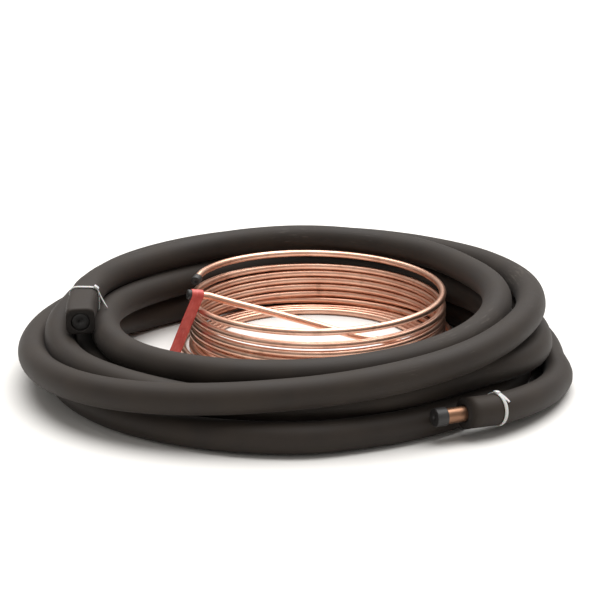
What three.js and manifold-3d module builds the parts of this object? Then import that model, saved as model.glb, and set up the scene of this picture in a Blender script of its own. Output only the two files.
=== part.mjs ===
// A mini split line set: an insulated suction line and a bare liquid line, each wound into a loose
// coil and lying on a floor, the smaller coil inside the larger one. Millimetres, +Z up, floor at 0.
import * as THREE from 'three';
import { mergeVertices } from 'three/addons/utils/BufferGeometryUtils.js';
import Module from 'manifold-3d';

const wasm = await Module();
wasm.setup();

// Suction line and its foam sleeve.
const suctionTubeDiameter = 19.05;
const suctionTubeWall = 1.07;
const foamWall = 9.28;
const foamClearance = 0.3;
const suctionCoilRadius = 309;
const turnGap = 0.3;

// Bare liquid line.
const liquidTubeDiameter = 9.525;
const liquidTubeWall = 0.81;
const liquidCoilRadius = 170;
const liquidTurnGap = 0.375;
const liquidCoilBearing = 75.4;
const liquidCoilGap = 0.5;

// Moulded caps on the tube ends.
const capWall = 1.5;
const capEndWall = 2.6;
const capClearance = 0.3;
const suctionCapLength = 15;
const suctionCapDimple = 3;
const liquidCapLength = 12;
const liquidCapDimple = 1.6;
const dimpleDepth = 1.6;
const capSetback = 2;

// Nylon cable ties round the foam.
const tieWidth = 3.8;
const tieThickness = 1.3;
const tieClearance = 0.3;
const tieHeadLength = 6.5;
const tieHeadHeight = 4.5;
const tieTailLength = 22;
const tieTailThickness = 1.1;
const tieHeadOverhang = 1.6;

// Red plastic tag hanging on the free tail of the liquid line.
const tagWidth = 16;
const tagThickness = 0.9;
const tagClearance = 0.35;
const tagLength = 86;
const tagSlant = 0.28;
const tagFromEnd = 5;

// How finely each length is drawn.
const suctionStep = 12;
const liquidStep = 18;
const foamSides = 10;
const tubeSides = 8;

const suctionRadius = suctionTubeDiameter / 2;
const foamBore = (suctionRadius + foamClearance) / Math.cos(Math.PI / tubeSides);
const foamRadius = suctionRadius + foamClearance + foamWall;
const foamFloor = foamRadius * Math.cos(Math.PI / foamSides);
const foamLay = 2 * foamRadius + turnGap;
const liquidRadius = liquidTubeDiameter / 2;
const liquidFloor = liquidRadius * Math.cos(Math.PI / tubeSides);
const liquidLay = liquidTubeDiameter + liquidTurnGap;

// The suction line from its upper left end to its lower right end, clockwise seen from above:
// [bearing in degrees, lays out from the coil's radius, lays up from the floor].
const suctionLay = [
  // First turn, on top.
  [200, -0.52, 1.97], [180, -0.93, 2.13], [135, -0.64, 1.99], [90, 0.05, 2.07],
  [60, -0.11, 2.01], [30, -0.94, 2.04], [0, -1.22, 2.09], [-45, -1.21, 1.81],
  [-90, -1.03, 1.6], [-135, -1.22, 1.4], [-180, -1.56, 1.34],
  // Second turn, under the first and inside the others.
  [-225, -1.1, 0.99], [-270, 0.08, 1.05], [-300, -0.09, 0.99], [-315, -0.49, 1],
  [-360, -0.98, 1.02], [-380, -1.3, 0.81], [-405, -1.5, 0.46], [-450, -1.56, 0],
  [-495, -1.2, 0.3], [-518, -1.06, 0.44], [-540, -0.87, 0.61],
  // Third turn, on the floor.
  [-560, -0.88, 0.35], [-578, -0.82, 0.07], [-595, -0.68, 0], [-630, 0.02, 0], [-675, -0.13, 0],
  [-720, -0.47, 0], [-765, -0.31, 0.02], [-780, -0.12, 0.04], [-795, 0.1, 0.05], [-810, 0.41, 0.07],
  [-855, 0.24, 0], [-900, -0.01, 0.03],
  // Fourth turn, from the floor at the back to the middle of the pile at the front.
  [-925, 0.11, 0], [-945, 0.28, 0], [-972, 0.76, 0], [-988, 1.01, 0.04], [-1010, 0.95, 0.39],
  [-1035, 0.62, 0.79], [-1060, 0.22, 0.81], [-1080, 0.15, 0.81], [-1102, 0.09, 0.96],
  [-1125, -0.49, 1.02], [-1170, -0.63, 0.68], [-1215, 0.02, 0.98], [-1235, 0.05, 0.99],
  [-1260, -0.06, 1.18],
  // Fifth turn, outermost at the back, right and front.
  [-1276, -0.08, 1.28], [-1305, 0.46, 1.6], [-1350, 1.03, 1.78], [-1395, 0.79, 1.8],
  [-1415, 0.34, 1.89], [-1440, -0.08, 2.02], [-1462, -0.11, 2.1], [-1485, -0.03, 1.9],
  [-1530, 0.17, 1.4], [-1575, 1.08, 0.96], [-1620, 0.83, 0.61],
  // Last turn, down behind the pile and out on the floor to the lower right end.
  [-1640, 0.92, 0.53], [-1665, 1.02, 0.66], [-1688, 1.65, 0.4], [-1710, 2.04, 0.22],
  [-1732, 1.99, 0.04], [-1755, 1.39, 0], [-1800, 0.63, 0], [-1815, 0.94, 0],
  [-1845, 1.02, 0.33], [-1853.8, 0.77, 0.39], [-1860.2, 0.65, 0.41],
];
const foamEndBearing = -1853.8;

// The liquid line's turns about its own centre, from its top end down.
const liquidLayout = [
  [169, 0, 7.75], [163, 0, 8.1], [150, 0, 8.22], [130, 0, 8.2], [90, 0, 8],
  [0, 0, 7.25], [-90, 0, 6.5], [-180, 0, 6.3], [-270, 0, 6.07],
  [-360, 0, 5.4], [-450, 0, 4.7], [-540, 0, 4.9], [-630, 0, 5.05],
  [-720, 0, 4.3], [-810, 0, 3.5], [-900, 0, 3.8], [-990, 0, 4.04],
  [-1080, 0, 3.3], [-1170, 0, 2.5], [-1260, 0, 2.78], [-1350, 0, 3.03],
  [-1440, 0, 2.28], [-1530, 0, 1.48], [-1620, 0, 1.77], [-1710, 0, 2.02],
  // Out and down to the floor at the right, loose at the left, and back under at the back.
  [-1740, 0.2, 1.82], [-1770, 1, 1.4], [-1800, 1.4, 0.75], [-1850, 1.4, 0],
  [-1890, 1.4, 0], [-1950, 1.5, 0], [-1985, 1.55, 0], [-2010, 1.45, 0.4], [-2035, 0.9, 1],
  [-2070, 0, 1.02], [-2100, -0.05, 0.84], [-2160, 0.2, 0.5], [-2250, 0.25, 0],
  [-2340, 0.1, 0],
  // Flat rings on the floor inside the wall of turns.
  [-2430, -0.15, 0], [-2460, -0.55, 0], [-2520, -1, 0], [-2610, -0.85, 0], [-2700, -0.9, 0],
  [-2790, -1.2, 0], [-2820, -1.6, 0], [-2880, -2.05, 0], [-2970, -1.95, 0],
  [-3060, -1.95, 0], [-3150, -2.3, 0], [-3210, -3.05, 0.02], [-3245, -3.25, 0.6],
  [-3270, -3.2, 1.7],
];
// Its free tail across the coil, as shares of the coil's radius, and lays up from the floor.
const liquidTail = [
  [0.65, -0.59, 2.9], [0.32, -0.62, 3.9], [0, -0.535, 5.1], [-0.37, -0.44, 6.4],
  [-0.65, -0.385, 7.4], [-0.85, -0.355, 8.25],
];
// The straight end of the tail, which holds the tag and the cap.
const liquidTailTip = [-1, -0.4, 8.65];

// A smooth pass through [bearing, out, up] rows, cut at every whole step of bearing.
function coilPoints(rows, step, radius, lay, floor, extraBearings) {
  const slope = rows.map((row, i) => {
    const before = rows[Math.max(i - 1, 0)];
    const after = rows[Math.min(i + 1, rows.length - 1)];
    const span = after[0] - before[0];
    return [0, (after[1] - before[1]) / span, (after[2] - before[2]) / span];
  });
  const last = rows[rows.length - 1][0];
  const bearings = [rows[0][0]];
  const lastStep = last + step / 2;
  for (let b = Math.ceil(rows[0][0] / step - 1) * step; b > lastStep; b -= step) bearings.push(b);
  bearings.push(last, ...extraBearings);
  const kept = [...new Set(bearings)].sort((a, b) => b - a);
  let row = 0;
  return kept.map((bearing) => {
    while (row < rows.length - 2 && bearing < rows[row + 1][0]) row += 1;
    const width = rows[row + 1][0] - rows[row][0];
    const u = (bearing - rows[row][0]) / width;
    const value = [1, 2].map((k) => {
      const start = (1 + 2 * u) * (1 - u) ** 2 * rows[row][k];
      const end = u * u * (3 - 2 * u) * rows[row + 1][k];
      const leave = u * (1 - u) ** 2 * width * slope[row][k];
      const arrive = u * u * (u - 1) * width * slope[row + 1][k];
      return start + end + leave + arrive;
    });
    const out = radius + lay * value[0];
    const angle = THREE.MathUtils.degToRad(bearing);
    const point = new THREE.Vector3(out * Math.cos(angle), out * Math.sin(angle), 0);
    point.z = floor + lay * Math.max(value[1], 0);
    return { bearing, point };
  });
}

// A route whose cross sections stay level: one side of each faces straight down.
class LevelRoute extends THREE.Curve {
  constructor(points) {
    super();
    this.points = points;
  }

  getPoint(t, target = new THREE.Vector3()) {
    const place = t * (this.points.length - 1);
    const i = Math.min(Math.floor(place), this.points.length - 2);
    return target.lerpVectors(this.points[i], this.points[i + 1], place - i);
  }

  getSpacedPoints() {
    return this.points.map((p) => p.clone());
  }

  computeFrenetFrames() {
    const tangents = this.points.map((p, i) => {
      const before = this.points[Math.max(i - 1, 0)];
      const after = this.points[Math.min(i + 1, this.points.length - 1)];
      const into = p.clone().sub(before).normalize();
      const onward = after.clone().sub(p).normalize();
      return into.add(onward).normalize();
    });
    const binormals = tangents.map((t) => t.clone().cross(new THREE.Vector3(0, 0, 1)).normalize());
    const normals = tangents.map((t, i) => binormals[i].clone().cross(t).normalize());
    return { tangents, normals, binormals };
  }
}

function polygon(sides, radius) {
  const corners = [];
  for (let i = 0; i < sides; i += 1) {
    const a = ((2 * i + 1) * Math.PI) / sides;
    corners.push(new THREE.Vector2(radius * Math.cos(a), radius * Math.sin(a)));
  }
  return corners;
}

function ringShape(sides, outer, innerSides, inner) {
  const shape = new THREE.Shape(polygon(sides, outer));
  shape.holes.push(new THREE.Path(polygon(innerSides, inner)));
  return shape;
}

function hollowLength(points, shape) {
  const extrudePath = new LevelRoute(points);
  const steps = points.length - 1;
  return new THREE.ExtrudeGeometry(shape, { steps, bevelEnabled: false, extrudePath });
}

function toSolid(geometry) {
  const bare = geometry.clone();
  bare.deleteAttribute('normal');
  bare.deleteAttribute('uv');
  const merged = mergeVertices(bare, 1e-4);
  const vertProperties = new Float32Array(merged.attributes.position.array);
  const triVerts = new Uint32Array(merged.index.array);
  return new wasm.Manifold(new wasm.Mesh({ numProp: 3, vertProperties, triVerts }));
}

function fromSolid(solid) {
  const mesh = solid.getMesh();
  const geometry = new THREE.BufferGeometry();
  geometry.setAttribute('position', new THREE.BufferAttribute(mesh.vertProperties, 3));
  geometry.setIndex(new THREE.BufferAttribute(mesh.triVerts, 1));
  geometry.computeVertexNormals();
  return geometry;
}

// A level frame at a point between two points of a route: x up, y to the side, z along the route.
function levelFrame(from, to, distance) {
  const along = to.clone().sub(from).normalize();
  const side = along.clone().cross(new THREE.Vector3(0, 0, 1)).normalize();
  const up = side.clone().cross(along).normalize();
  const origin = from.clone().addScaledVector(along, distance);
  return new THREE.Matrix4().makeBasis(up, side, along).setPosition(origin);
}

// A push-on cap round a tube end: the closed face is at z = 0 of its frame, the mouth at its length.
function capGeometry(tubeRadius, length, dimple) {
  const inner = tubeRadius + capClearance;
  const outer = inner + capWall;
  const edge = capWall / 2;
  const profile = [
    [0, dimpleDepth], [dimple, 0], [outer - edge, 0], [outer, edge], [outer, length],
    [inner, length], [inner, capEndWall], [0, capEndWall],
  ].map(([r, z]) => new THREE.Vector2(r, z));
  return new THREE.LatheGeometry(profile, 14).rotateX(Math.PI / 2);
}

const materials = {
  foam: new THREE.MeshStandardMaterial({ color: 0x3c3733, roughness: 0.95, metalness: 0 }),
  copper: new THREE.MeshStandardMaterial({ color: 0xc98f74, roughness: 0.35, metalness: 1 }),
  cap: new THREE.MeshStandardMaterial({ color: 0x1b1a1a, roughness: 0.6, metalness: 0 }),
  nylon: new THREE.MeshStandardMaterial({ color: 0xcfd0cf, roughness: 0.45, metalness: 0 }),
  tag: new THREE.MeshStandardMaterial({ color: 0xc4473f, roughness: 0.5, metalness: 0 }),
};

const lineSet = new THREE.Group();
const suctionGroup = new THREE.Group();
const liquidGroup = new THREE.Group();
lineSet.add(suctionGroup, liquidGroup);

function addPiece(group, name, geometry, material) {
  const mesh = new THREE.Mesh(geometry, material);
  mesh.name = name;
  group.add(mesh);
  return mesh;
}

// Foam sleeve: one long hollow length, counterbored at the upper end to go over the cap.
const route = coilPoints(
  suctionLay, suctionStep, suctionCoilRadius, foamLay, foamFloor, [foamEndBearing],
);
const foamPoints = route.filter((r) => r.bearing >= foamEndBearing).map((r) => r.point);
const foamGeometry = hollowLength(foamPoints, ringShape(foamSides, foamRadius, tubeSides, foamBore));
const mouthDepth = capSetback + suctionCapLength + turnGap;
const mouthRadius = suctionRadius + 2 * capClearance + capWall;
const mouth = new THREE.CylinderGeometry(mouthRadius, mouthRadius, 2 * mouthDepth, 16);
mouth.rotateX(Math.PI / 2).applyMatrix4(levelFrame(foamPoints[0], foamPoints[1], 0));
const foamSolid = toSolid(foamGeometry).subtract(toSolid(mouth));
addPiece(suctionGroup, 'foam_sleeve', fromSolid(foamSolid), materials.foam);

// Suction tube: inside the sleeve, short of its upper end and out past its lower end.
const capReach = capSetback + capEndWall + capClearance;
const tubePoints = route.map((r) => r.point.clone());
const tubeStart = tubePoints[1].clone().sub(tubePoints[0]).normalize();
tubePoints[0].addScaledVector(tubeStart, capReach);
const tubeShape = ringShape(tubeSides, suctionRadius, 6, suctionRadius - suctionTubeWall);
addPiece(suctionGroup, 'suction_tube', hollowLength(tubePoints, tubeShape), materials.copper);

const suctionCap = capGeometry(suctionRadius, suctionCapLength, suctionCapDimple);
const leftCap = addPiece(suctionGroup, 'suction_cap_left', suctionCap, materials.cap);
leftCap.applyMatrix4(levelFrame(foamPoints[0], foamPoints[1], capSetback));
const tubeEnd = tubePoints[tubePoints.length - 1];
const beforeEnd = tubePoints[tubePoints.length - 2];
const rightCap = addPiece(suctionGroup, 'suction_cap_right', suctionCap.clone(), materials.cap);
rightCap.applyMatrix4(levelFrame(tubeEnd, beforeEnd, -capEndWall - capClearance));

// Cable ties: a closed band, a head over it and the cut strap end standing off it.
function tieGeometry(headAngle, tailAngle, tailDrift) {
  const scale = 1 / Math.cos(Math.PI / foamSides);
  const inner = foamRadius + tieClearance * scale;
  const outer = inner + tieThickness * scale;
  const band = new THREE.ExtrudeGeometry(
    ringShape(foamSides, outer, foamSides, inner), { depth: tieWidth, bevelEnabled: false },
  ).translate(0, 0, -tieWidth / 2);
  const head = new THREE.BoxGeometry(tieHeadHeight, tieHeadLength, tieWidth + tieHeadOverhang);
  const seat = foamRadius * Math.cos(Math.PI / foamSides) + tieClearance + tieHeadHeight / 2;
  head.translate(seat + 0.1, 0, 0).rotateZ(headAngle);
  const root = new THREE.Vector3(seat + tieHeadHeight / 3, 0, 0);
  const place = root.applyAxisAngle(new THREE.Vector3(0, 0, 1), headAngle);
  const heading = new THREE.Vector3(Math.cos(tailAngle), Math.sin(tailAngle), tailDrift).normalize();
  const flat = new THREE.Vector3(0, 0, 1).cross(heading).normalize();
  const width = flat.clone().cross(heading).normalize();
  const tail = new THREE.BoxGeometry(tieTailThickness, tieTailLength, tieWidth * 0.7);
  tail.translate(0, tieTailLength / 2, 0);
  tail.applyMatrix4(new THREE.Matrix4().makeBasis(flat, heading, width).setPosition(place));
  const strap = toSolid(band).add(toSolid(head)).add(toSolid(tail));
  return fromSolid(strap);
}

function stretchAt(bearing) {
  const i = route.findIndex((r) => r.bearing < bearing);
  const share = (route[i - 1].bearing - bearing) / (route[i - 1].bearing - route[i].bearing);
  const from = route[i - 1].point;
  const to = route[i].point;
  return levelFrame(from, to, share * from.distanceTo(to));
}

const leftTie = addPiece(suctionGroup, 'tie_left', tieGeometry(Math.PI / 5, 2.36, 0), materials.nylon);
leftTie.applyMatrix4(stretchAt(184));
const rightTie = addPiece(suctionGroup, 'tie_right', tieGeometry(0, -1.73, -0.3), materials.nylon);
rightTie.applyMatrix4(stretchAt(-1846.4));

// Liquid line: about its own centre, pushed back and to the right against the suction coil.
const liquidReach = suctionCoilRadius - foamRadius - liquidCoilRadius - liquidRadius;
const bearing = THREE.MathUtils.degToRad(liquidCoilBearing);
const liquidOffset = liquidReach + foamFloor * 0.06 - liquidCoilGap;
liquidGroup.position.set(liquidOffset * Math.cos(bearing), liquidOffset * Math.sin(bearing), 0);

const turns = coilPoints(
  liquidLayout, liquidStep, liquidCoilRadius, liquidLay, liquidFloor, [165, 160, -3260],
).map((r) => r.point);
const tailPlace = ([x, y, up]) => new THREE.Vector3(
  x * liquidCoilRadius, y * liquidCoilRadius, liquidFloor + up * liquidLay,
);
const tailRows = liquidTail.map(tailPlace);
const tailCurve = new THREE.CatmullRomCurve3(
  [...turns.slice(-2), ...tailRows], false, 'centripetal',
);
const tailStart = turns.length - 2;
const liquidPoints = turns.slice(0, tailStart);
for (let i = 0; i <= 18; i += 1) liquidPoints.push(tailCurve.getPoint(i / 18));
liquidPoints.push(tailPlace(liquidTailTip));
const liquidShape = ringShape(tubeSides, liquidRadius, 6, liquidRadius - liquidTubeWall);
addPiece(liquidGroup, 'liquid_tube', hollowLength(liquidPoints, liquidShape), materials.copper);

const liquidCap = capGeometry(liquidRadius, liquidCapLength, liquidCapDimple);
const topCap = addPiece(liquidGroup, 'liquid_cap_top', liquidCap, materials.cap);
topCap.applyMatrix4(levelFrame(liquidPoints[0], liquidPoints[1], -capEndWall - capClearance));
const tailTip = liquidPoints[liquidPoints.length - 1];
const tailNear = liquidPoints[liquidPoints.length - 2];
const tailCap = addPiece(liquidGroup, 'liquid_cap_tail', liquidCap.clone(), materials.cap);
tailCap.applyMatrix4(levelFrame(tailTip, tailNear, -capEndWall - capClearance));

// Tag: its upper end loops round the tail's cap, and the strip hangs slanting to near the floor.
const tagGrip = liquidRadius + capClearance + capWall + tagClearance;
const tagInner = tagGrip / Math.cos(Math.PI / tubeSides);
const tagOuter = tagInner + tagThickness / Math.cos(Math.PI / tubeSides);
const tagLoop = new THREE.ExtrudeGeometry(
  ringShape(tubeSides, tagOuter, tubeSides, tagInner), { depth: tagWidth, bevelEnabled: false },
);
const strip = new THREE.BoxGeometry(tagLength, tagThickness, tagWidth);
strip.translate(-tagLength / 2 - tagThickness, tagGrip + tagThickness / 2, tagWidth / 2);
strip.applyMatrix4(new THREE.Matrix4().set(
  1, 0, 0, 0,
  0, 1, 0, 0,
  tagSlant, 0, 1, 0,
  0, 0, 0, 1,
));
const tag = addPiece(liquidGroup, 'red_tag', fromSolid(toSolid(tagLoop).add(toSolid(strip))), materials.tag);
tag.applyMatrix4(levelFrame(tailTip, tailNear, tagFromEnd - capEndWall - capClearance));

// The whole set stands on the floor, centred over the origin.
lineSet.updateMatrixWorld(true);
const extent = new THREE.Box3().setFromObject(lineSet, true);
const middle = extent.getCenter(new THREE.Vector3());
lineSet.position.set(-middle.x, -middle.y, -extent.min.z);

export default lineSet;
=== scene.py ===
# A mini split line set lying on a studio floor: a copper suction line in a black foam sleeve, coiled
# five times, and a bare copper liquid line coiled inside it. Metres, +Z up, floor at z = 0.
import math
import bpy
import numpy as np
from mathutils import Matrix, Vector, noise


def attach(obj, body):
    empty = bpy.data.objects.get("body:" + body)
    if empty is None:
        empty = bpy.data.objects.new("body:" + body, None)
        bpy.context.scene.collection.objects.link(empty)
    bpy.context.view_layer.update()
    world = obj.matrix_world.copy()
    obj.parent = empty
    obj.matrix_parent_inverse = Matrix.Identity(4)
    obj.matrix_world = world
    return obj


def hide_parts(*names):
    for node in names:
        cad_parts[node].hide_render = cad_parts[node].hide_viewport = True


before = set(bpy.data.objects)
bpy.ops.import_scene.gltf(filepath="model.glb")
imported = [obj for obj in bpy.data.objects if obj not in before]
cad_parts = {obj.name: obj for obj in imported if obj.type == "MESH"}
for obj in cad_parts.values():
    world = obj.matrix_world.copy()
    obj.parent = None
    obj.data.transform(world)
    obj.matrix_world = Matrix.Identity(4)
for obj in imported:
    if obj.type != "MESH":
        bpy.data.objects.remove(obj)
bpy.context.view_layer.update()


# ---------------------------------------------------------------- Studio: camera, floor and lights
# The set lies on a pale sweep in soft overhead light, seen from 17 degrees above the floor with a
# long lens. The floor and the lights belong to the studio and not to the line set.
PHOTO_PIXELS = 600
LOOK_AT = Vector((0.0027, -0.0317, 0.047))
DISTANCE = 2.823
ELEVATION = math.radians(17)
camera_data = bpy.data.cameras.new("studio_camera")
camera_data.lens = 129.6
camera_data.sensor_width = 36
camera_data.shift_x = 4 / PHOTO_PIXELS
camera_data.shift_y = 35.4 / PHOTO_PIXELS
camera = bpy.data.objects.new("studio_camera", camera_data)
bpy.context.scene.collection.objects.link(camera)
away = Vector((0, -math.cos(ELEVATION), math.sin(ELEVATION)))
camera.location = LOOK_AT + away * DISTANCE
camera.rotation_euler = away.to_track_quat("Z", "Y").to_euler()
bpy.context.scene.camera = camera
bpy.context.scene.view_settings.view_transform = "Standard"


def linear(code):
    """An sRGB colour such as 0xc98f74, as the linear colour that a shader takes."""
    channels = [(code >> shift & 255) / 255 for shift in (16, 8, 0)]
    return [c / 12.92 if c <= 0.04045 else ((c + 0.055) / 1.055) ** 2.4 for c in channels] + [1]


def add_node(tree, kind, inputs=None, **settings):
    """One shader node with its settings; inputs are values, or sockets of other nodes to link."""
    node = tree.nodes.new(kind)
    for name, value in settings.items():
        setattr(node, name, value)
    for name, value in (inputs or {}).items():
        if isinstance(value, bpy.types.NodeSocket):
            tree.links.new(value, node.inputs[name])
        else:
            node.inputs[name].default_value = value
    return node


def new_finish(name):
    """An empty material of that name with its output node."""
    material = bpy.data.materials.new(name)
    material.use_nodes = True
    material.node_tree.nodes.clear()
    return material, material.node_tree, add_node(material.node_tree, "ShaderNodeOutputMaterial")


def lay_floor():
    # Matt white painted board: it gives the eye an even pale ground and a soft contact shadow.
    finish, tree, out = new_finish("white_painted_board")
    paint = add_node(tree, "ShaderNodeBsdfPrincipled", {
        "Base Color": linear(0xdedcd9), "Roughness": 0.95, "Specular IOR Level": 0.1,
    })
    tree.links.new(paint.outputs[0], out.inputs[0])
    half = 14
    mesh = bpy.data.meshes.new("studio_floor")
    corners = [(-half, -half, 0), (half, -half, 0), (half, half, 0), (-half, half, 0)]
    mesh.from_pydata(corners, [], [(0, 1, 2, 3)])
    mesh.materials.append(finish)
    floor = bpy.data.objects.new("studio_floor", mesh)
    floor.location.z = -0.0004
    bpy.context.scene.collection.objects.link(floor)


def hang_overhead_light(name, aim_from, strength, spread, colour):
    """A broad even light from one way, soft by its spread in degrees."""
    data = bpy.data.lights.new(name, "SUN")
    data.energy = strength
    data.angle = math.radians(spread)
    data.color = linear(colour)[:3]
    lamp = bpy.data.objects.new(name, data)
    lamp.rotation_euler = Vector(aim_from).to_track_quat("Z", "Y").to_euler()
    bpy.context.scene.collection.objects.link(lamp)


def fill_studio_air():
    # The far walls of the studio are lit to plain white, and throw a lower even light on the set.
    air = bpy.data.worlds.new("studio_air")
    air.use_nodes = True
    tree = air.node_tree
    tree.nodes.clear()
    walls = add_node(tree, "ShaderNodeBackground", {"Color": linear(0xffffff), "Strength": 1.0})
    glow = add_node(tree, "ShaderNodeBackground", {"Color": linear(0xfffcf8), "Strength": 0.5})
    seen = add_node(tree, "ShaderNodeLightPath").outputs["Is Camera Ray"]
    both = add_node(tree, "ShaderNodeMixShader", {0: seen, 1: glow.outputs[0], 2: walls.outputs[0]})
    out = add_node(tree, "ShaderNodeOutputWorld")
    tree.links.new(both.outputs[0], out.inputs[0])
    bpy.context.scene.world = air


lay_floor()
hang_overhead_light("overhead_softbox", (0.1, 0.25, 1.0), 4.6, 70, 0xffffff)
fill_studio_air()


# ---------------------------------------------------------------- Foam sleeve of the suction line
# Closed-cell elastomeric foam tube, extruded with a smooth black skin and slid over the copper. It
# is cut square at both ends, and squeezed nearly square at its upper end by the tie round it.
SHIFT = np.array([0.0026986, -0.0317305, 0.0])
SUCTION_RADIUS = 0.009525
FOAM_RADIUS = 0.019105
FOAM_LAY = 0.03851
FOAM_FLOOR = 0.01817
SUCTION_COIL_RADIUS = 0.309
SUCTION_CHORD = 0.0008
FOAM_END_BEARING = -1853.8
FOAM_LIP_RADIUS = 0.0009
# The mouths at the upper end, over the cap, and at the lower end, round the tube: radius and depth.
UPPER_MOUTH = (0.01185, 0.034)
LOWER_MOUTH = (0.01013, 0.03)
# Bearing in degrees, lays out from the coil's radius, lays up from the floor.
SUCTION_LAY = [
    [200, -0.52, 1.97], [180, -0.93, 2.13], [135, -0.66, 1.97], [90, 0.05, 2.07],
    [60, -0.11, 2.01], [30, -0.94, 2.04], [0, -1.22, 2.09], [-45, -1.21, 1.81],
    [-90, -1.03, 1.6], [-135, -1.22, 1.4], [-180, -1.56, 1.34],
    [-225, -1.08, 1.06], [-270, 0.08, 1.1], [-300, -0.09, 0.99], [-315, -0.49, 1],
    [-360, -0.98, 1.02], [-380, -1.3, 0.81], [-405, -1.5, 0.46], [-450, -1.56, 0],
    [-495, -1.2, 0.3], [-518, -1.06, 0.44], [-540, -0.87, 0.61],
    [-560, -0.88, 0.35], [-578, -0.82, 0.07], [-595, -0.68, 0], [-630, 0.02, 0], [-675, -0.13, 0],
    [-720, -0.47, 0], [-765, -0.31, 0.02], [-780, -0.12, 0.04], [-795, 0.1, 0.05], [-810, 0.41, 0.07],
    [-855, 0.24, 0], [-900, -0.01, 0.03],
    [-925, 0.11, 0], [-945, 0.28, 0], [-972, 0.76, 0], [-988, 1.01, 0.04], [-1010, 0.95, 0.39],
    [-1035, 0.62, 0.79], [-1060, 0.22, 0.81], [-1080, 0.15, 0.81], [-1102, 0.09, 0.96],
    [-1125, -0.49, 1.02], [-1170, -0.63, 0.68], [-1215, 0.02, 0.98], [-1235, 0.05, 0.99],
    [-1260, -0.06, 1.18],
    [-1276, -0.08, 1.28], [-1305, 0.46, 1.6], [-1350, 1.03, 1.78], [-1395, 0.79, 1.8],
    [-1415, 0.34, 1.89], [-1440, -0.08, 2.02], [-1462, -0.11, 2.1], [-1485, -0.03, 1.9],
    [-1530, 0.17, 1.4], [-1575, 1.08, 0.96], [-1620, 0.83, 0.61],
    [-1640, 0.92, 0.53], [-1665, 1.02, 0.66], [-1688, 1.65, 0.4], [-1710, 2.04, 0.22],
    [-1732, 1.99, 0.04], [-1755, 1.39, 0], [-1800, 0.63, 0], [-1815, 0.94, 0],
    [-1845, 1.02, 0.33], [-1853.8, 0.77, 0.39], [-1860.2, 0.65, 0.41],
]


def wound_route(rows, step, radius, lay, floor, extra=()):
    """A smooth pass through the rows: its bearings, and its points about the coil's own centre."""
    rows = np.array(rows, float)
    before = rows[[0, *range(len(rows) - 1)]]
    after = rows[[*range(1, len(rows)), len(rows) - 1]]
    slope = (after[:, 1:] - before[:, 1:]) / (after[:, :1] - before[:, :1])
    count = round((rows[0, 0] - rows[-1, 0]) / step)
    bearings = np.linspace(rows[0, 0], rows[-1, 0], count + 1)
    bearings = np.array(sorted({*bearings, *extra}, reverse=True))
    row = np.clip(np.searchsorted(-rows[:, 0], -bearings, "right") - 1, 0, len(rows) - 2)
    width = rows[row + 1, 0] - rows[row, 0]
    u = ((bearings - rows[row, 0]) / width)[:, None]
    width = width[:, None]
    value = (
        (1 + 2 * u) * (1 - u) ** 2 * rows[row, 1:] + u * u * (3 - 2 * u) * rows[row + 1, 1:]
        + u * (1 - u) ** 2 * width * slope[row] + u * u * (u - 1) * width * slope[row + 1]
    )
    out = radius + lay * value[:, 0]
    angle = np.radians(bearings)
    up = floor + lay * np.maximum(value[:, 1], 0)
    return bearings, np.stack([out * np.cos(angle), out * np.sin(angle), up], 1)


def level_axes(points):
    """At each point of a route: the unit vectors along it, up from it and level to its side."""
    step = np.diff(points, axis=0)
    step /= np.linalg.norm(step, axis=1)[:, None]
    along = np.concatenate([step[:1], step[:-1] + step[1:], step[-1:]])
    along /= np.linalg.norm(along, axis=1)[:, None]
    side = np.cross(along, [0, 0, 1])
    side /= np.linalg.norm(side, axis=1)[:, None]
    return along, np.cross(side, along), side


def distance_along(points):
    return np.concatenate([[0], np.cumsum(np.linalg.norm(np.diff(points, axis=0), axis=1))])


def ring_skin(name, rings, finishes, finish_of_span=None, close=False):
    """A mesh skinned over rings of points, with a UV map in metres: along it and round it."""
    count, sides, _ = rings.shape
    mesh = bpy.data.meshes.new(name)
    faces = [
        (
            i * sides + k, i * sides + (k + 1) % sides,
            (i + 1) * sides + (k + 1) % sides, (i + 1) * sides + k,
        )
        for i in range(count - 1)
        for k in range(sides)
    ]
    if close:
        last = (count - 1) * sides
        faces.append(tuple(reversed(range(sides))))
        faces.append(tuple(last + k for k in range(sides)))
    mesh.from_pydata(rings.reshape(-1, 3).tolist(), [], faces)
    centre = rings.mean(axis=1)
    run = distance_along(centre + 1e-9 * np.arange(count)[:, None])
    girth = distance_along(np.concatenate([rings[count // 2], rings[count // 2][:1]]))
    layer = mesh.uv_layers.new(name="run_and_girth")
    values = np.zeros((len(mesh.loops), 2))
    place = np.array([loop.vertex_index for loop in mesh.loops])
    values[:, 0] = run[place // sides]
    values[:, 1] = girth[place % sides]
    skin = 4 * (count - 1) * sides
    wrapped = np.zeros(len(mesh.loops), bool)
    wrapped[1:skin:4] = place[1:skin:4] % sides == 0
    wrapped[2:skin:4] = place[2:skin:4] % sides == 0
    values[wrapped, 1] = girth[-1]
    layer.data.foreach_set("uv", values.ravel())
    for finish in finishes:
        mesh.materials.append(finish)
    index = np.zeros(len(mesh.polygons), np.int32)
    if finish_of_span is not None:
        index[: (count - 1) * sides] = np.repeat(finish_of_span, sides)
    mesh.polygons.foreach_set("material_index", index)
    mesh.polygons.foreach_set("use_smooth", np.ones(len(mesh.polygons), bool))
    mesh.update()
    piece = bpy.data.objects.new(name, mesh)
    bpy.context.scene.collection.objects.link(piece)
    return piece


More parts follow.
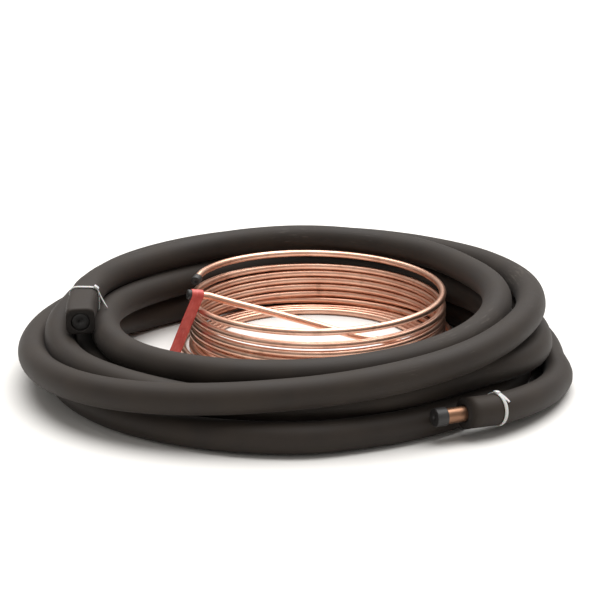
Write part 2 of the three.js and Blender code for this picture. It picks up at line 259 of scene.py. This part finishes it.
def foam_skin_finish():
    # Extruded NBR foam skin: a matt warm charcoal with a broad soft sheen, fine grain, faint draw
    # lines along it and a little pale dust where it has rubbed.
    finish, tree, out = new_finish("extruded_nbr_foam_skin")
    place = add_node(tree, "ShaderNodeTexCoord").outputs["Object"]
    run = add_node(tree, "ShaderNodeUVMap", uv_map="run_and_girth").outputs[0]
    # Blotches about 45 mm across, and grain drawn at 1.2 mm where the real one is nearer 0.3 mm.
    blotch = add_node(tree, "ShaderNodeTexNoise", {"Vector": place, "Scale": 22, "Detail": 4})
    grain = add_node(tree, "ShaderNodeTexNoise", {"Vector": place, "Scale": 830, "Detail": 3})
    # Draw lines every 5 mm round the girth, running about 0.4 m along the sleeve.
    stretched = add_node(tree, "ShaderNodeMapping", {"Vector": run, "Scale": (2.5, 200, 1)}).outputs[0]
    drawn = add_node(tree, "ShaderNodeTexNoise", {"Vector": stretched, "Scale": 1, "Detail": 2})
    shade = add_node(tree, "ShaderNodeValToRGB", {"Fac": blotch.outputs[0]})
    shade.color_ramp.elements[0].position = 0.3
    shade.color_ramp.elements[0].color = linear(0x26201c)
    shade.color_ramp.elements[1].position = 0.72
    shade.color_ramp.elements[1].color = linear(0x2f2822)
    # Scuffs are short pale rubs along the sleeve, 3 mm wide and 15 to 30 mm long, and rare.
    rub_place = add_node(tree, "ShaderNodeMapping", {"Vector": run, "Scale": (45, 330, 1)}).outputs[0]
    rub = add_node(tree, "ShaderNodeTexNoise", {"Vector": rub_place, "Scale": 1, "Detail": 3})
    where = add_node(tree, "ShaderNodeTexNoise", {"Vector": place, "Scale": 6, "Detail": 1})
    both = add_node(tree, "ShaderNodeMath", {0: rub.outputs[0], 1: where.outputs[0]}, operation="MULTIPLY")
    worn = add_node(tree, "ShaderNodeMapRange", {
        "Value": both.outputs[0], "From Min": 0.39, "From Max": 0.5, "To Max": 0.3,
    })
    dusted = add_node(tree, "ShaderNodeMix", {
        "Factor": worn.outputs[0], "A": shade.outputs[0], "B": linear(0x5e5750),
    }, data_type="RGBA")
    rough = add_node(tree, "ShaderNodeMapRange", {
        "Value": blotch.outputs[0], "To Min": 0.5, "To Max": 0.72,
    })
    height = add_node(tree, "ShaderNodeMath", {
        0: drawn.outputs[0], 1: 1.3, 2: grain.outputs[0],
    }, operation="MULTIPLY_ADD")
    bump = add_node(tree, "ShaderNodeBump", {
        "Strength": 0.35, "Distance": 0.00025, "Height": height.outputs[0],
    })
    foam = add_node(tree, "ShaderNodeBsdfPrincipled", {
        "Base Color": dusted.outputs["Result"], "Roughness": rough.outputs[0],
        "Specular IOR Level": 0.22, "Sheen Weight": 0.03, "Sheen Roughness": 0.5,
        "Normal": bump.outputs[0],
    })
    tree.links.new(foam.outputs[0], out.inputs[0])
    return finish


def cut_foam_finish():
    # Knife-cut cells: a dull near-black face, pitted by open cells drawn at 0.9 mm.
    finish, tree, out = new_finish("knife_cut_nbr_foam")
    place = add_node(tree, "ShaderNodeTexCoord").outputs["Object"]
    cells = add_node(tree, "ShaderNodeTexVoronoi", {"Vector": place, "Scale": 1100})
    clouds = add_node(tree, "ShaderNodeTexNoise", {"Vector": place, "Scale": 140, "Detail": 3})
    shade = add_node(tree, "ShaderNodeValToRGB", {"Fac": clouds.outputs[0]})
    shade.color_ramp.elements[0].color = linear(0x1d1b1a)
    shade.color_ramp.elements[1].color = linear(0x34302d)
    bump = add_node(tree, "ShaderNodeBump", {
        "Strength": 0.6, "Distance": 0.0005, "Height": cells.outputs["Distance"],
    })
    foam = add_node(tree, "ShaderNodeBsdfPrincipled", {
        "Base Color": shade.outputs[0], "Roughness": 0.9, "Specular IOR Level": 0.25,
        "Normal": bump.outputs[0],
    })
    tree.links.new(foam.outputs[0], out.inputs[0])
    return finish


def foam_outline(bearing, angles, extra=0.0):
    """The sleeve's outline at a bearing: up and side from its middle, square near its upper end."""
    share = np.clip((bearing - 168) / (184 - 168), 0, 1)
    share = share * share * (3 - 2 * share)
    near_end = np.clip((bearing - 184) / 16, 0, 1)
    power = 2 + 2.6 * share
    tall = FOAM_RADIUS - 0.0013 * share - 0.0024 * near_end + extra
    wide = FOAM_RADIUS - 0.0010 * share + extra
    c, s = np.cos(angles), np.sin(angles)
    reach = (np.abs(c) ** power + np.abs(s) ** power) ** (-1 / power)
    return tall * reach * c, wide * reach * s


def make_foam_sleeve(bearings, points):
    sides = 36
    angles = np.arange(sides) * 2 * math.pi / sides
    along, up, side = level_axes(points)
    run = distance_along(points)
    rings = []
    for i, bearing in enumerate(bearings):
        x, y = foam_outline(bearing, angles)
        # The skin isn't true: it sinks in by up to 0.35 mm over 60 to 100 mm.
        ring = points[i] + np.outer(x, up[i]) + np.outer(y, side[i])
        for k in range(sides):
            swell = noise.noise(Vector(ring[k] * 14) + Vector((run[i] * 3, 0, 0)))
            ring[k] += (ring[k] - points[i]) * 0.022 * min(swell, 0.0)
        rings.append(ring)
    rings = np.array(rings)
    press_turns(rings, points, run)
    rings[:, :, 2] = np.maximum(rings[:, :, 2], 0.0)
    # Both cut ends: a rounded lip, the cut face, and the bore going in past where it can be seen.
    start = end_rings(rings[0], points[0], -along[0], *UPPER_MOUTH)
    finish = end_rings(rings[-1], points[-1], along[-1], *LOWER_MOUTH)
    rings = np.concatenate([start[::-1], rings, finish])
    spans = np.zeros(len(rings) - 1, int)
    spans[: len(start) - 2] = 1
    spans[-(len(finish) - 2):] = 1
    return ring_skin("foam_sleeve_skin", rings, [foam_skin_finish(), cut_foam_finish()], spans)


def press_turns(rings, points, run):
    """Where two turns of the sleeve bear on each other, both give way to a flat between them."""
    for i in range(len(points)):
        gap = points - points[i]
        far = np.linalg.norm(gap, axis=1)
        near = np.nonzero((far < 2 * FOAM_RADIUS) & (np.abs(run - run[i]) > 0.15))[0]
        for j in near:
            toward = gap[j] / far[j]
            over = (rings[i] - (points[i] + points[j]) / 2) @ toward + 0.00005
            rings[i] -= np.outer(np.maximum(over, 0), toward)


def end_rings(ring, centre, outward, bore, depth):
    """Rings from an end's outline over its lip, across the cut face and into the bore."""
    spoke = ring - centre
    reach = np.linalg.norm(spoke, axis=1)[:, None]
    unit = spoke / reach
    lip = FOAM_LIP_RADIUS
    made = [
        centre + unit * (reach - lip * (1 - math.cos(a))) + outward * lip * math.sin(a) - outward * lip
        for a in (0.5, 1.0, math.pi / 2)
    ]
    for share in (0.35, 0.7):
        made.append(centre + unit * ((reach - lip) * (1 - share) + bore * share))
    made.append(centre + unit * (bore + 0.0005))
    made.append(centre + unit * bore - outward * 0.0006)
    made.append(centre + unit * bore - outward * depth)
    return np.array(made)


TIE_BEARINGS = (184.0, -1846.4)
suction_bearings, suction_points = wound_route(
    SUCTION_LAY, 3, SUCTION_COIL_RADIUS - SUCTION_CHORD, FOAM_LAY, FOAM_FLOOR,
    (FOAM_END_BEARING, *TIE_BEARINGS),
)
suction_points += SHIFT
inside = suction_bearings >= FOAM_END_BEARING
foam_sleeve = make_foam_sleeve(suction_bearings[inside], suction_points[inside])
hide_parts("foam_sleeve")
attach(foam_sleeve, "root")


# ---------------------------------------------------------------- Suction tube and liquid line
# Soft-drawn copper tube, 3/4 in for the suction line and 3/8 in for the liquid line. Both come
# wound from the mill, cleaned and capped, and the bare one keeps its drawn skin.
def soft_drawn_copper(name, bright, shaded, stain, rough):
    # Drawn copper gives long warm highlights, broken by fine draw lines along the tube and by
    # faint brown stains where hands and air have reached it.
    finish, tree, out = new_finish(name)
    place = add_node(tree, "ShaderNodeTexCoord").outputs["Object"]
    run = add_node(tree, "ShaderNodeUVMap", uv_map="run_and_girth").outputs[0]
    clouds = add_node(tree, "ShaderNodeTexNoise", {"Vector": place, "Scale": 26, "Detail": 5})
    stains = add_node(tree, "ShaderNodeTexNoise", {"Vector": place, "Scale": 70, "Detail": 4})
    # Draw lines 0.9 mm apart round the tube, each about 60 mm long.
    stretched = add_node(tree, "ShaderNodeMapping", {"Vector": run, "Scale": (16, 1100, 1)}).outputs[0]
    drawn = add_node(tree, "ShaderNodeTexNoise", {"Vector": stretched, "Scale": 1, "Detail": 2})
    shade = add_node(tree, "ShaderNodeValToRGB", {"Fac": clouds.outputs[0]})
    shade.color_ramp.elements[0].position = 0.32
    shade.color_ramp.elements[0].color = linear(shaded)
    shade.color_ramp.elements[1].position = 0.68
    shade.color_ramp.elements[1].color = linear(bright)
    spots = add_node(tree, "ShaderNodeMapRange", {
        "Value": stains.outputs[0], "From Min": 0.58, "From Max": 0.74, "To Max": 0.45,
    })
    stained = add_node(tree, "ShaderNodeMix", {
        "Factor": spots.outputs[0], "A": shade.outputs[0], "B": linear(stain),
    }, data_type="RGBA")
    roughness = add_node(tree, "ShaderNodeMapRange", {
        "Value": drawn.outputs[0], "To Min": rough - 0.08, "To Max": rough + 0.12,
    })
    bump = add_node(tree, "ShaderNodeBump", {
        "Strength": 0.25, "Distance": 0.00012, "Height": drawn.outputs[0],
    })
    copper = add_node(tree, "ShaderNodeBsdfPrincipled", {
        "Base Color": stained.outputs["Result"], "Metallic": 1.0,
        "Roughness": roughness.outputs[0], "Normal": bump.outputs[0],
    })
    tree.links.new(copper.outputs[0], out.inputs[0])
    return finish


def make_tube(name, points, radius, wall, sides, finish):
    angles = np.arange(sides) * 2 * math.pi / sides
    along, up, side = level_axes(points)
    spoke = np.cos(angles)[None, :, None] * up[:, None] + np.sin(angles)[None, :, None] * side[:, None]
    rings = points[:, None] + radius * spoke
    rings[:, :, 2] = np.maximum(rings[:, :, 2], 0.0)
    bore = radius - wall

    def mouth(i, outward):
        return np.array([
            points[i] + spoke[i] * (radius - 0.0002) + outward * 0.0002,
            points[i] + spoke[i] * bore + outward * 0.0002,
            points[i] + spoke[i] * bore - outward * 0.012,
        ])

    rings = np.concatenate([mouth(0, -along[0])[::-1], rings, mouth(-1, along[-1])])
    return ring_skin(name, rings, [finish])


# The tube starts this far inside the sleeve, behind the cap's end wall.
CAP_REACH = 0.0049
SUCTION_WALL = 0.00107
tube_start = int(np.searchsorted(distance_along(suction_points), CAP_REACH))
# The suction tube's copper is coloured darker and browner than the liquid line's.
suction_copper = soft_drawn_copper("soft_drawn_copper_darker", 0x93705a, 0x7b5945, 0x4d3628, 0.4)
suction_tube = make_tube(
    "suction_tube_wound", suction_points[tube_start:], SUCTION_RADIUS, SUCTION_WALL, 28, suction_copper,
)
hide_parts("suction_tube")
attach(suction_tube, "root")

LIQUID_RADIUS = 0.0047625
LIQUID_WALL = 0.00081
LIQUID_LAY = 0.0099
LIQUID_FLOOR = 0.0044
LIQUID_COIL_RADIUS = 0.17
LIQUID_CHORD = 0.0009
LIQUID_LAYOUT = [
    [169, 0, 7.75], [163, 0, 8.1], [150, 0, 8.22], [130, 0, 8.2], [90, 0, 8],
    [0, 0, 7.25], [-90, 0, 6.5], [-180, 0, 6.3], [-270, 0, 6.07],
    [-360, 0, 5.4], [-450, 0, 4.7], [-540, 0, 4.9], [-630, 0, 5.05],
    [-720, 0, 4.3], [-810, 0, 3.5], [-900, 0, 3.8], [-990, 0, 4.04],
    [-1080, 0, 3.3], [-1170, 0, 2.5], [-1260, 0, 2.78], [-1350, 0, 3.03],
    [-1440, 0, 2.28], [-1530, 0, 1.48], [-1620, 0, 1.77], [-1710, 0, 2.02],
    [-1740, 0.2, 1.82], [-1770, 1, 1.4], [-1800, 1.4, 0.75], [-1850, 1.4, 0],
    [-1890, 1.4, 0], [-1950, 1.5, 0], [-1985, 1.55, 0], [-2010, 1.45, 0.4], [-2035, 0.9, 1],
    [-2070, 0, 1.02], [-2100, -0.05, 0.84], [-2160, 0.2, 0.5], [-2250, 0.25, 0],
    [-2340, 0.1, 0],
    [-2430, -0.15, 0], [-2460, -0.55, 0], [-2520, -1, 0], [-2610, -0.85, 0], [-2700, -0.9, 0],
    [-2790, -1.2, 0], [-2820, -1.6, 0], [-2880, -2.05, 0], [-2970, -1.95, 0],
    [-3060, -1.95, 0], [-3150, -2.3, 0], [-3210, -3.05, 0.02], [-3245, -3.25, 0.6],
    [-3270, -3.2, 1.7],
]
# The free tail across the coil, as shares of the coil's radius, and lays up from the floor.
LIQUID_TAIL = [
    [0.65, -0.59, 2.9], [0.32, -0.62, 3.9], [0, -0.535, 5.1], [-0.37, -0.44, 6.4],
    [-0.65, -0.385, 7.4], [-0.85, -0.355, 8.25],
]
LIQUID_TIP = [-1, -0.4, 8.65]


def centripetal(through, cuts):
    """A centripetal Catmull-Rom curve through the points, cut evenly by span."""
    ends = [2 * through[0] - through[1], *through, 2 * through[-1] - through[-2]]
    made = []
    for cut in range(cuts + 1):
        place = cut / cuts * (len(through) - 1)
        i = min(int(place), len(through) - 2)
        share = place - i
        p = ends[i : i + 4]
        knots = [0.0]
        for a, b in zip(p, p[1:]):
            knots.append(knots[-1] + max(np.linalg.norm(b - a) ** 0.5, 1e-6))
        t = knots[1] + share * (knots[2] - knots[1])
        level = [
            (knots[k + 1] - t) / (knots[k + 1] - knots[k]) * p[k]
            + (t - knots[k]) / (knots[k + 1] - knots[k]) * p[k + 1]
            for k in range(3)
        ]
        pair = [
            (knots[k + 2] - t) / (knots[k + 2] - knots[k]) * level[k]
            + (t - knots[k]) / (knots[k + 2] - knots[k]) * level[k + 1]
            for k in range(2)
        ]
        made.append((knots[2] - t) / (knots[2] - knots[1]) * pair[0]
                    + (t - knots[1]) / (knots[2] - knots[1]) * pair[1])
    return np.array(made)


liquid_turns = wound_route(
    LIQUID_LAYOUT, 3, LIQUID_COIL_RADIUS - LIQUID_CHORD, LIQUID_LAY, LIQUID_FLOOR,
)[1]
tail_rows = [
    np.array([x * LIQUID_COIL_RADIUS, y * LIQUID_COIL_RADIUS, LIQUID_FLOOR + up * LIQUID_LAY])
    for x, y, up in [*LIQUID_TAIL, LIQUID_TIP]
]
tail = centripetal([liquid_turns[-4], liquid_turns[-1], *tail_rows[:-1]], 84)
first_new = int(np.argmin(np.linalg.norm(tail - liquid_turns[-1], axis=1))) + 1
straight = [tail[-1] + (tail_rows[-1] - tail[-1]) * share for share in (0.25, 0.5, 0.75, 1.0)]
# The liquid coil stands off centre, close against the inside of the sleeve's turns.
LIQUID_COIL_GAP = 0.0005
LIQUID_OFFSET = (
    SUCTION_COIL_RADIUS - FOAM_RADIUS - LIQUID_COIL_RADIUS - LIQUID_RADIUS + FOAM_FLOOR * 0.06
    - LIQUID_COIL_GAP
)
LIQUID_BEARING = math.radians(75.4)
liquid_centre = LIQUID_OFFSET * np.array([math.cos(LIQUID_BEARING), math.sin(LIQUID_BEARING), 0])
liquid_points = np.concatenate([liquid_turns, tail[first_new:], straight]) + liquid_centre + SHIFT
liquid_copper = soft_drawn_copper("soft_drawn_copper_bright", 0xe9bfa8, 0xd8a68e, 0x9c7058, 0.32)
liquid_tube = make_tube(
    "liquid_tube_wound", liquid_points, LIQUID_RADIUS, LIQUID_WALL, 20, liquid_copper,
)
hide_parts("liquid_tube")
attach(liquid_tube, "root")


# ---------------------------------------------------------------- Push-on end caps
# Four soft moulded vinyl plugs, pushed over the tube ends at the mill to keep the bores clean and
# dry. Each has a dimple where it was moulded, and rounded rims.
def moulded_vinyl_finish():
    # Moulded black vinyl: nearly black, satin, with a faint greasy cloudiness and fine flow grain.
    finish, tree, out = new_finish("moulded_black_vinyl")
    place = add_node(tree, "ShaderNodeTexCoord").outputs["Object"]
    clouds = add_node(tree, "ShaderNodeTexNoise", {"Vector": place, "Scale": 160, "Detail": 4})
    grain = add_node(tree, "ShaderNodeTexNoise", {"Vector": place, "Scale": 1600, "Detail": 2})
    shade = add_node(tree, "ShaderNodeValToRGB", {"Fac": clouds.outputs[0]})
    shade.color_ramp.elements[0].color = linear(0x151414)
    shade.color_ramp.elements[1].color = linear(0x2a2827)
    rough = add_node(tree, "ShaderNodeMapRange", {
        "Value": clouds.outputs[0], "To Min": 0.42, "To Max": 0.62,
    })
    bump = add_node(tree, "ShaderNodeBump", {
        "Strength": 0.2, "Distance": 0.0002, "Height": grain.outputs[0],
    })
    vinyl = add_node(tree, "ShaderNodeBsdfPrincipled", {
        "Base Color": shade.outputs[0], "Roughness": rough.outputs[0], "IOR": 1.52,
        "Normal": bump.outputs[0],
    })
    tree.links.new(vinyl.outputs[0], out.inputs[0])
    return finish


def end_place(tip, inner, distance):
    """A frame at a tube's end: x up, y to the side and z into the tube, in the part's metres."""
    along = (inner - tip) / np.linalg.norm(inner - tip)
    side = np.cross(along, [0, 0, 1])
    side /= np.linalg.norm(side)
    up = np.cross(side, along)
    axes = Matrix((up, side, along)).transposed().to_4x4()
    axes.translation = Vector(tip + along * distance)
    return axes


def make_cap(name, node, tube_radius, length, dimple, place, finish):
    clearance = 0.0003
    wall = 0.0015
    inner = tube_radius + clearance
    outer = inner + wall
    turned = [
        (0.0003, 0.0017), (dimple * 0.45, 0.00155), (dimple * 0.8, 0.0009), (dimple, 0.0002),
        (dimple * 1.12, 0.0), (outer - 0.0013, 0.0), (outer - 0.0006, 0.0002),
        (outer - 0.00015, 0.0008), (outer, 0.0016), (outer - 0.0001, length * 0.6),
        (outer, length - 0.0012), (outer - 0.0001, length - 0.0003), (outer - 0.0006, length),
        (inner + 0.0001, length - 0.0001), (inner, length - 0.0008), (inner, 0.0027),
        (0.0004, 0.0026),
    ]
    angles = np.arange(40) * 2 * math.pi / 40
    rings = np.array([
        [[r * math.cos(a), r * math.sin(a), z] for a in angles] for r, z in turned
    ])
    piece = ring_skin(name, rings, [finish], close=True)
    piece.data.transform(place)
    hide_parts(node)
    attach(piece, "root")


vinyl = moulded_vinyl_finish()
# A cap's face stands this far past the tube's end; the upper left cap sits inside the sleeve.
CAP_SEAT = 0.0029
CAP_INSET = 0.002
SUCTION_CAP = (SUCTION_RADIUS, 0.015, 0.003)
LIQUID_CAP = (LIQUID_RADIUS, 0.012, 0.0016)
left_place = end_place(suction_points[0], suction_points[2], CAP_INSET)
make_cap("suction_cap_left_moulded", "suction_cap_left", *SUCTION_CAP, left_place, vinyl)
right_place = end_place(suction_points[-1], suction_points[-4], -CAP_SEAT)
make_cap("suction_cap_right_moulded", "suction_cap_right", *SUCTION_CAP, right_place, vinyl)
top_place = end_place(liquid_points[0], liquid_points[3], -CAP_SEAT)
make_cap("liquid_cap_top_moulded", "liquid_cap_top", *LIQUID_CAP, top_place, vinyl)
tail_place = end_place(liquid_points[-1], liquid_points[-5], -CAP_SEAT)
make_cap("liquid_cap_tail_moulded", "liquid_cap_tail", *LIQUID_CAP, tail_place, vinyl)


# ---------------------------------------------------------------- Cable ties
# Natural nylon cable ties drawn tight round the foam near its two ends, each with its moulded head
# over the strap and the spare strap cut off short. They pull the foam in and hold it to the tube.
def moulded_nylon_finish():
    # Natural moulded nylon: milky and slightly clear, with a soft gloss and fine teeth across it.
    finish, tree, out = new_finish("moulded_natural_nylon")
    run = add_node(tree, "ShaderNodeUVMap", uv_map="run_and_girth").outputs[0]
    # Teeth 1 mm apart along the strap.
    teeth = add_node(tree, "ShaderNodeTexWave", {
        "Vector": run, "Scale": 1000 / math.pi, "Distortion": 0.0,
    }, wave_profile="SAW")
    clouds = add_node(tree, "ShaderNodeTexNoise", {"Vector": run, "Scale": 240, "Detail": 3})
    shade = add_node(tree, "ShaderNodeValToRGB", {"Fac": clouds.outputs[0]})
    shade.color_ramp.elements[0].color = linear(0xb9bab8)
    shade.color_ramp.elements[1].color = linear(0xdcdcda)
    bump = add_node(tree, "ShaderNodeBump", {
        "Strength": 0.5, "Distance": 0.0003, "Height": teeth.outputs["Fac"],
    })
    nylon = add_node(tree, "ShaderNodeBsdfPrincipled", {
        "Base Color": shade.outputs[0], "Roughness": 0.35, "IOR": 1.53,
        "Transmission Weight": 0.15, "Subsurface Weight": 0.2, "Subsurface Scale": 0.002,
        "Normal": bump.outputs[0],
    })
    tree.links.new(nylon.outputs[0], out.inputs[0])
    return finish


def strap_skin(name, centres, flats, widths, width, thickness, finish, taper=0.0):
    """A flat strap with rounded edges along centres; flats are its thin ways, widths its wide ways."""
    corner = 0.3
    profile = [
        (-0.5, -0.5 + corner), (-0.5 + 0.06, -0.5), (0.5 - 0.06, -0.5), (0.5, -0.5 + corner),
        (0.5, 0.5 - corner), (0.5 - 0.06, 0.5), (-0.5 + 0.06, 0.5), (-0.5, 0.5 - corner),
    ]
    count = len(centres)
    rings = []
    for i in range(count):
        slim = 1 - taper * max(0, (i / (count - 1) - 0.75) / 0.25)
        rings.append([
            centres[i] + widths[i] * (w * width * slim) + flats[i] * (t * thickness)
            for w, t in profile
        ])
    return ring_skin(name, np.array(rings), [finish], close=True)


def make_tie(name, node, bearing, head_angle, tail_angle, drift, spare_length, finish):
    place = int(np.argmin(np.abs(suction_bearings - bearing)))
    along, up, side = (axis[place] for axis in level_axes(suction_points))
    centre = suction_points[place]

    def out_at(angle, extra):
        x, y = foam_outline(bearing, np.array([angle]), extra)
        return centre + up * x[0] + side * y[0]

    # The band follows the foam's own outline all round.
    turn = np.linspace(0, 2 * math.pi, 73) + head_angle
    band = np.array([out_at(a, 0.0009) for a in turn])
    tangent = np.gradient(band, axis=0)
    tangent /= np.linalg.norm(tangent, axis=1)[:, None]
    flats = np.cross(tangent, along)
    strap = strap_skin(name, band, flats, np.tile(along, (73, 1)), 0.0047, 0.0014, finish)
    # The head sits on the band, and the spare strap leaves it along tail_angle.
    root = out_at(head_angle, 0.0021)
    heading = up * math.cos(tail_angle) + side * math.sin(tail_angle) + along * drift
    heading /= np.linalg.norm(heading)
    outward = (root - centre) / np.linalg.norm(root - centre)
    across = np.cross(outward, along)
    across /= np.linalg.norm(across)
    head_run = np.linspace(-0.0034, 0.0034, 9)
    swell = [0.0026, 0.0031, 0.0034, 0.0035, 0.0035, 0.0035, 0.0034, 0.0031, 0.0025]
    head_rings = []
    for offset, tall in zip(head_run, swell):
        half = 0.0029
        outline = [
            (-half, -0.5), (-half * 0.8, -0.62), (half * 0.8, -0.62), (half, -0.5),
            (half, 0.36), (half * 0.8, 0.5), (-half * 0.8, 0.5), (-half, 0.36),
        ]
        head_rings.append([
            root + across * offset + along * w + outward * (t * tall) for w, t in outline
        ])
    head = ring_skin(name + "_head", np.array(head_rings), [finish], close=True)
    # The cut strap springs away in a gentle bend.
    share = np.linspace(0, 1, 22)
    lift = outward * 0.0006
    bend = np.cross(heading, along)
    sag = 0.0009
    spare = np.array([
        root + lift + heading * spare_length * s - bend * sag * math.sin(math.pi * s)
        for s in share
    ])
    tangent = np.gradient(spare, axis=0)
    tangent /= np.linalg.norm(tangent, axis=1)[:, None]
    wide = along - tangent * (tangent @ along)[:, None]
    wide /= np.linalg.norm(wide, axis=1)[:, None]
    tail_piece = strap_skin(
        name + "_spare", spare, np.cross(tangent, wide), wide, 0.0040, 0.0011, finish, taper=0.3,
    )
    for piece in (strap, head, tail_piece):
        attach(piece, "root")
    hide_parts(node)


nylon = moulded_nylon_finish()
# Head and spare strap by their angle from straight up, the strap's drift along the sleeve, its length.
make_tie("tie_left_band", "tie_left", TIE_BEARINGS[0], math.pi / 4.4, 2.68, -0.1, 0.030, nylon)
make_tie("tie_right_band", "tie_right", TIE_BEARINGS[1], 0.0, -2.1, -0.35, 0.020, nylon)


# ---------------------------------------------------------------- Plain red tag
# A strip of flat red vinyl, folded round the cap on the liquid line's free end and hanging down to
# just above the floor. It is plain, a little wavy, and scuffed from handling.
def red_vinyl_finish():
    # Calendered red vinyl: a flat warm red with a low gloss, pale scuffs and creases across it.
    finish, tree, out = new_finish("calendered_red_vinyl")
    place = add_node(tree, "ShaderNodeTexCoord").outputs["Object"]
    run = add_node(tree, "ShaderNodeUVMap", uv_map="run_and_girth").outputs[0]
    clouds = add_node(tree, "ShaderNodeTexNoise", {"Vector": place, "Scale": 90, "Detail": 4})
    scuff_place = add_node(tree, "ShaderNodeMapping", {"Vector": run, "Scale": (90, 500, 1)}).outputs[0]
    scuffs = add_node(tree, "ShaderNodeTexNoise", {"Vector": scuff_place, "Scale": 1, "Detail": 5})
    shade = add_node(tree, "ShaderNodeValToRGB", {"Fac": clouds.outputs[0]})
    shade.color_ramp.elements[0].position = 0.3
    shade.color_ramp.elements[0].color = linear(0xb23a34)
    shade.color_ramp.elements[1].position = 0.7
    shade.color_ramp.elements[1].color = linear(0xcc5348)
    rubbed = add_node(tree, "ShaderNodeMapRange", {
        "Value": scuffs.outputs[0], "From Min": 0.56, "From Max": 0.72, "To Max": 0.35,
    })
    worn = add_node(tree, "ShaderNodeMix", {
        "Factor": rubbed.outputs[0], "A": shade.outputs[0], "B": linear(0xdc8a7c),
    }, data_type="RGBA")
    bump = add_node(tree, "ShaderNodeBump", {
        "Strength": 0.3, "Distance": 0.0004, "Height": clouds.outputs[0],
    })
    sheet = add_node(tree, "ShaderNodeBsdfPrincipled", {
        "Base Color": worn.outputs["Result"], "Roughness": 0.45, "IOR": 1.53,
        "Normal": bump.outputs[0],
    })
    tree.links.new(sheet.outputs[0], out.inputs[0])
    return finish


def make_red_tag(place):
    """Up from the hanging end, over the cap and back under it, in the frame of the tail's end."""
    radius = LIQUID_RADIUS + 0.0024
    thickness = 0.0007
    width = 0.016
    length = 0.086
    slant = 0.28
    path = []
    for share in np.linspace(0, 1, 30):
        down = -length * (1 - share)
        wave = 0.0007 * math.sin(share * 9) + 0.0009 * (1 - share) ** 2
        path.append((down, radius + wave * (1 - share)))
    for turn in np.linspace(0.08, 1.62, 34):
        angle = math.pi / 2 - math.pi * turn
        path.append((radius * math.cos(angle), radius * math.sin(angle)))
    path = np.array([(x, y, 0.0) for x, y in path])
    tangent = np.gradient(path, axis=0)
    tangent /= np.linalg.norm(tangent, axis=1)[:, None]
    wide = np.tile([0, 0, 1.0], (len(path), 1))
    flats = np.cross(tangent, wide)
    centres = path + np.array([0, 0, width / 2])
    centres[:, 2] += slant * np.minimum(path[:, 0], 0)
    piece = strap_skin("red_tag_strip", centres, flats, wide, width, thickness, red_vinyl_finish())
    piece.data.transform(place)
    return piece


TAG_INSET = 0.0021
tag_place = end_place(liquid_points[-1], liquid_points[-5], TAG_INSET)
red_tag = make_red_tag(tag_place)
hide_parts("red_tag")
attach(red_tag, "root")
